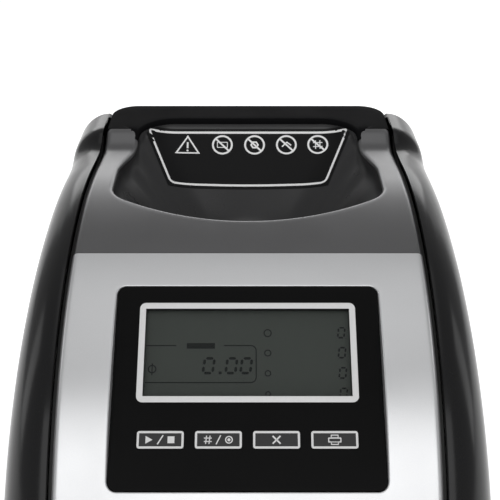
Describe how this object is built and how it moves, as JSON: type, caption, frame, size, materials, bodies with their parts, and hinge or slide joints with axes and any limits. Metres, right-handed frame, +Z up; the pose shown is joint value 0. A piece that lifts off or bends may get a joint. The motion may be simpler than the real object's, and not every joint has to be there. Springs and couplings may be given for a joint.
{
  "type": "coin sorting machine",
  "caption": "Counter-top coin sorter: open hopper with a coin disc on top, sloping display panel with keys, and a pull-out tray of clear coin tubes.",
  "frame": {"origin": "bottom centre of the whole machine, on the surface it stands on", "axes": "+Z up, +Y from the front face to the back, +X to the right seen from the front"},
  "size_m": [0.224, 0.274, 0.3176],
  "materials": {
    "side_gloss": "high gloss",
    "silver_paint": "satin metallic silver paint",
    "graphite_paint": "satin metallic dark grey paint",
    "hopper_black": "semi-gloss",
    "label_print": "printed film",
    "case_black": "fine texture",
    "panel_black": "satin",
    "white_print": "printed",
    "window_clear": "clear",
    "display_glass": "smooth",
    "key_black": "satin",
    "board_green": "solder mask",
    "chip_black": "moulded",
    "socket_black": "moulded",
    "frame_black": "black paint",
    "steel": "brushed",
    "disc_metal": "turned",
    "bearing_bronze": "sintered",
    "gear_nylon": "natural",
    "ribbon_grey": "insulated",
    "foot_rubber": "matte",
    "tube_clear": "clear"
  },
  "bodies": {
    "body": {"side_panel_left": "side_gloss", "side_panel_right": "side_gloss", "front_shell": "silver_paint", "top_cover": "graphite_paint", "hopper_bowl": "hopper_black", "hopper_label": "label_print", "base_pan": "case_black", "rear_cover": "case_black", "chute_block": "case_black", "control_panel": "panel_black", "display_bezel": "white_print", "display_window": "window_clear", "lcd_module": "display_glass", "keypad_board": "board_green", "main_board": "board_green", "power_supply": "board_green", "board_chips": "chip_black", "coin_sensors": "chip_black", "power_inlet": "socket_black", "switch_body": "socket_black", "side_frame_left": "frame_black", "side_frame_right": "frame_black", "disc_plate": "steel", "motor_bracket": "steel", "feed_chute": "steel", "sorting_rail": "steel", "tray_runner_left": "steel", "tray_runner_right": "steel", "screws": "steel", "gear_motor": "steel", "printer_port": "steel", "disc_bearing": "bearing_bronze", "ribbon_cable": "ribbon_grey", "rubber_feet": "foot_rubber"},
    "tray": {"coin_tray": "case_black", "tube_dime_1": "tube_clear", "tube_dime_2": "tube_clear", "tube_dime_3": "tube_clear", "tube_dime_4": "tube_clear", "tube_penny_1": "tube_clear", "tube_penny_2": "tube_clear", "tube_penny_3": "tube_clear", "tube_penny_4": "tube_clear", "tube_nickel_1": "tube_clear", "tube_nickel_2": "tube_clear", "tube_nickel_3": "tube_clear", "tube_nickel_4": "tube_clear", "tube_quarter_1": "tube_clear", "tube_quarter_2": "tube_clear", "tube_quarter_3": "tube_clear", "tube_quarter_4": "tube_clear"},
    "key_run": {"key_run": "key_black"},
    "key_mode": {"key_mode": "key_black"},
    "key_clear": {"key_clear": "key_black"},
    "key_print": {"key_print": "key_black"},
    "rocker": {"switch_rocker": "socket_black"},
    "disc": {"coin_disc": "disc_metal", "disc_shaft": "steel", "disc_gear": "gear_nylon"},
    "pinion": {"motor_pinion": "gear_nylon"}
  },
  "joints": [
    {"name": "tray_slide", "type": "slide", "parent": "body", "child": "tray", "axis": [0, -1, 0], "range_m": [0, 0.13]},
    {"name": "key_run_press", "type": "slide", "parent": "body", "child": "key_run", "axis": [0, 0.6921, -0.7218], "range_m": [0, 0.0006], "stiffness_N_per_m": 800, "springref_m": -0.0005},
    {"name": "key_mode_press", "type": "slide", "parent": "body", "child": "key_mode", "axis": [0, 0.6921, -0.7218], "range_m": [0, 0.0006], "stiffness_N_per_m": 800, "springref_m": -0.0005},
    {"name": "key_clear_press", "type": "slide", "parent": "body", "child": "key_clear", "axis": [0, 0.6921, -0.7218], "range_m": [0, 0.0006], "stiffness_N_per_m": 800, "springref_m": -0.0005},
    {"name": "key_print_press", "type": "slide", "parent": "body", "child": "key_print", "axis": [0, 0.6921, -0.7218], "range_m": [0, 0.0006], "stiffness_N_per_m": 800, "springref_m": -0.0005},
    {"name": "rocker_tilt", "type": "hinge", "parent": "body", "child": "rocker", "pos_m": [-0.012, 0.132, 0.042], "axis": [1, 0, 0], "range_deg": [0, 16]},
    {"name": "disc_spin", "type": "hinge", "parent": "body", "child": "disc", "pos_m": [0, 0.033, 0.225], "axis": [0, 0, 1], "continuous": true},
    {"name": "pinion_spin", "type": "hinge", "parent": "body", "child": "pinion", "pos_m": [0.03, 0.033, 0.209], "axis": [0, 0, 1], "continuous": true}
  ],
  "couplings": [
    {"joint": "pinion_spin", "follows": "disc_spin", "ratio": -2}
  ]
}
